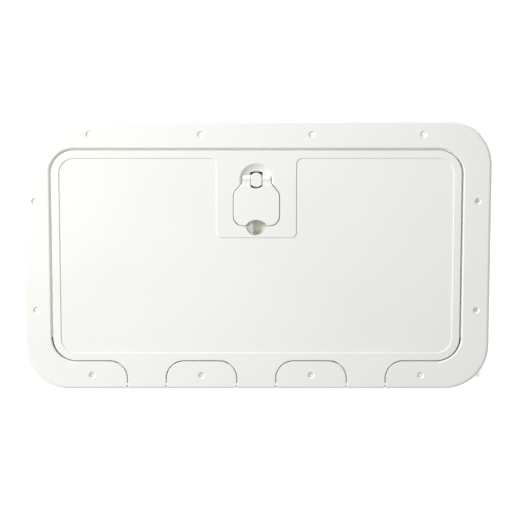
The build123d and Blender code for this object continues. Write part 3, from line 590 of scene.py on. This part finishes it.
class HATCH_OT_rubber(bpy.types.Operator):
    """Make the grooved lid seal, and give the latch seal and the handle's buffers their rubber"""

    bl_idname = "hatch.rubber"
    bl_label = "Seals and buffers"

    def execute(self, context):
        rubber = black_rubber("seal_rubber_finish")
        skins = [seal_skin(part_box("lid_gasket"), context.scene.hatch.rubber)]
        piece("lid_seal", skins, rubber, "seal_rubber", "lid", "lid_gasket")
        dress("latch_body_seal", rubber)
        dress("handle_buffers", rubber)
        return {"FINISHED"}


class HATCH_OT_spring(bpy.types.Operator):
    """Make the wound latch spring, riding on the lid"""

    bl_idname = "hatch.spring"
    bl_label = "Latch spring"

    def execute(self, context):
        steel = context.scene.hatch.steel
        wire = worked_steel("spring_wire", steel.spring, (900, 900, 900))
        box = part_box("bolt_spring")
        skins = [spring_skin(box, steel.wire, steel.coils)]
        spring = piece("latch_spring", skins, wire, "spring_steel", "lid", "bolt_spring")
        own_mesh(spring)
        return {"FINISHED"}


class HATCH_OT_screws(bpy.types.Operator):
    """Make the threaded pan-head screws of the keeper, the latch body and the latch cover"""

    bl_idname = "hatch.screws"
    bl_label = "Screws"

    def execute(self, context):
        steel = context.scene.hatch.steel
        finish = worked_steel("screw_steel_finish", steel.colour, (300, 300, 4200))
        for name, body, sizes, screws in screw_sets():
            skins = [screw_skin(place, sizes, steel) for place in screws]
            piece(name + "_threaded", skins, finish, "screw_steel", body, name)
        return {"FINISHED"}


class HATCH_OT_steel(bpy.types.Operator):
    """Give the hinge pins, the handle pin, the spring rod and the keeper plate their steel"""

    bl_idname = "hatch.steel"
    bl_label = "Pins and keeper"

    def execute(self, context):
        colour = context.scene.hatch.steel.colour
        turned = worked_steel("turned_steel", colour, (2600, 160, 160))
        for node in ("hinge_pin_left", "hinge_pin_centre", "hinge_pin_right", "handle_pin"):
            dress(node, turned)
        dress("spring_rod", worked_steel("rod_steel", colour, (160, 2600, 160)))
        dress("keeper_plate", worked_steel("rolled_steel", colour, (40, 2600, 2600)))
        return {"FINISHED"}


class HATCH_OT_studio(bpy.types.Operator):
    """Build the floor, the soft light and the camera"""

    bl_idname = "hatch.studio"
    bl_label = "Studio"

    def execute(self, context):
        studio = context.scene.hatch.studio
        low, high = CAD_BOX
        lay_floor(studio, low.z)
        light_room(studio, context.scene)
        set_camera(studio, context.scene, Vector((*VIEW_MIDDLE, high.z)))
        return {"FINISHED"}


def screw_sets():
    """Name, body, (shank radius, head radius, head height) and (x, y, seat, tip) of each screw, from its node's box:
    the screws stand at the corners of the box, a head radius in."""
    sizes = {"keeper_screws": (0.0015, 0.0028, 0.0019), "latch_body_screws": (0.00175, 0.0036, 0.0022)}
    sizes["cover_screws"] = sizes["keeper_screws"]
    bodies = {"keeper_screws": "frame", "latch_body_screws": "lid", "cover_screws": "lid"}
    for name, (shank, head, head_height) in sizes.items():
        low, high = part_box(name)
        across = (low[0] + head, high[0] - head)
        deep = sorted({round(low[1] + head, 6), round(high[1] - head, 6)})
        places = [(x, y, low[2] + head_height, high[2]) for x in across for y in deep]
        yield name, bodies[name], (shank, head, head_height), places


def lay_floor(studio, height):
    """A round floor that dips away at its edge: height falls as the fourth power of the distance from the middle."""
    finish = Finish("studio_floor", studio.floor, 0.7)
    cloud = finish.noise(1.5, 2.0)
    base = finish.blend(finish.band(cloud, 0.3, 0.7, 0.0, 1.0), shade(studio.floor, 0.99), tuple(studio.floor))
    # Painted light: the floor glows white outside the hatch's outline, which paints out the shadow that the hatch
    # casts.
    finish.shader.inputs["Emission Color"].default_value = (1, 1, 1, 1)
    finish.links.new(painted_light_past_hatch(finish, studio.glow), finish.shader.inputs["Emission Strength"])
    radius = np.linspace(0.05, 1, 24)[:, None] * FLOOR_RADIUS
    angle = np.linspace(0, TURN, 97)[None, :-1]
    drop = FLOOR_DROP * (radius / FLOOR_RADIUS) ** 4 + np.zeros_like(angle)
    rings = np.dstack((radius * np.cos(angle), radius * np.sin(angle), height - drop))
    points, (quads, middle, _) = skin(rings[:, ::-1], True)
    mesh = mesh_of("studio_floor", [(points, (quads, middle))], finish.done(base))
    floor = bpy.data.objects.new("studio_floor", mesh)
    bpy.context.scene.collection.objects.link(floor)


def painted_light_past_hatch(finish, glow):
    """Painted light on the floor, left out under the hatch: a glow that grows from nothing to full as the larger of
    two distances, past the hatch's ends and past its sides, crosses its outline; it paints out the hatch's shadow."""
    split = finish.nodes.new("ShaderNodeSeparateXYZ")
    finish.links.new(finish.coordinates, split.inputs["Vector"])
    low, high = CAD_BOX
    past = []
    for axis, reach in (("X", (high.x - low.x) / 2), ("Y", (high.y - low.y) / 2)):
        past.append(finish.sum("SUBTRACT", finish.sum("ABSOLUTE", split.outputs[axis], 0.0), reach))
    return finish.band(finish.sum("MAXIMUM", *past), GLOW_START, GLOW_END, 0.0, glow)


def light_room(studio, scene):
    """Even pale light from all round, and one large soft light high on the left."""
    scene.view_settings.view_transform = "Standard"
    world = bpy.data.worlds.new("studio_air")
    world.use_nodes = True
    world.node_tree.nodes["Background"].inputs["Color"].default_value = (*LIGHT, 1)
    world.node_tree.nodes["Background"].inputs["Strength"].default_value = studio.sky
    scene.world = world
    data = bpy.data.lights.new("key_light", "AREA")
    data.size = studio.key_size
    data.energy = studio.key
    data.color = LIGHT
    lamp = bpy.data.objects.new("key_light", data)
    lamp.location = LAMP_PLACE
    lamp.rotation_mode = "QUATERNION"
    lamp.rotation_quaternion = (-lamp.location).to_track_quat("-Z", "Y")
    scene.collection.objects.link(lamp)


def set_camera(studio, scene, target):
    """Camera above the hatch, leaning towards the latch side, with +Y up in the picture."""
    data = bpy.data.cameras.new("camera")
    data.lens = data.sensor_width / 2 / math.tan(studio.across / 2)
    camera = bpy.data.objects.new("camera", data)
    away = Vector((0, math.sin(studio.tilt), math.cos(studio.tilt)))
    camera.location = target + away * studio.distance
    camera.rotation_euler = (-studio.tilt, 0, 0)
    scene.collection.objects.link(camera)
    scene.camera = camera


PIECES = (HATCH_OT_frame, HATCH_OT_lid, HATCH_OT_handle, HATCH_OT_latch, HATCH_OT_rubber)
PIECES += (HATCH_OT_spring, HATCH_OT_screws, HATCH_OT_steel, HATCH_OT_studio)


class HATCH_PT_panel(bpy.types.Panel):
    """The hatch's pieces and settings in the sidebar"""

    bl_idname = "HATCH_PT_panel"
    bl_label = "Deck Hatch"
    bl_space_type = "VIEW_3D"
    bl_region_type = "UI"
    bl_category = "Deck Hatch"

    def draw(self, context):
        for operator in PIECES:
            self.layout.operator(operator.bl_idname)
        for group in ("plastic", "rubber", "steel", "studio"):
            settings = getattr(context.scene.hatch, group)
            box = self.layout.box()
            box.label(text=group.capitalize())
            for name in settings.__annotations__:
                box.prop(settings, name)


GROUPS = (HatchPlasticSettings, HatchRubberSettings, HatchSteelSettings, HatchStudioSettings, HatchSettings)


def register():
    for group in GROUPS + PIECES + (HATCH_PT_panel,):
        bpy.utils.register_class(group)
    bpy.types.Scene.hatch = PointerProperty(name="Deck hatch", description="Hatch settings", type=HatchSettings)


def unregister():
    del bpy.types.Scene.hatch
    for group in reversed(GROUPS + PIECES + (HATCH_PT_panel,)):
        bpy.utils.unregister_class(group)


def main():
    """Builds every piece and the studio in order."""
    register()
    for operator in PIECES:
        group, name = operator.bl_idname.split(".")
        getattr(getattr(bpy.ops, group), name)()


if __name__ == "__main__":
    main()
